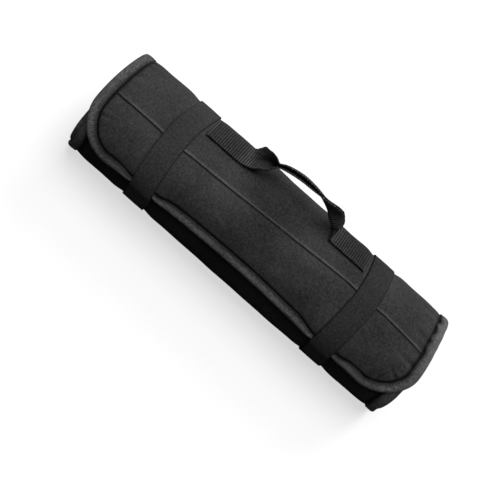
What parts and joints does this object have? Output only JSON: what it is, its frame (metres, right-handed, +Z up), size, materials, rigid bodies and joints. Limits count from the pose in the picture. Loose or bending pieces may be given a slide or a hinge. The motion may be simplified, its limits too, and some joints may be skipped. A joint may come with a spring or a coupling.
{
  "type": "rolled chef knife roll",
  "caption": "Padded cloth knife roll, wound up and held shut by elastic bands, with a bound edge and a folded webbing carry handle.",
  "frame": {"origin": "on the surface that the roll rests on, under the middle of its bounding box", "axes": "+X along the roll towards the right end as seen from the flap's side, -Y towards the side where the flap ends, +Z up"},
  "size_m": [0.47, 0.1466, 0.1288],
  "materials": {
    "cloth": "woven polyester, matt black",
    "binding": "ribbed woven edge tape, matt",
    "elastic": "flat woven elastic, matt",
    "webbing": "coarse ribbed webbing, slight sheen"
  },
  "bodies": {
    "root": {"roll_panel": "cloth", "flap_panel": "cloth", "binding_left": "binding", "binding_right": "binding", "binding_flap": "binding", "binding_inner": "binding", "band_left": "elastic", "band_right": "elastic", "carry_handle": "webbing"}
  },
  "joints": []
}
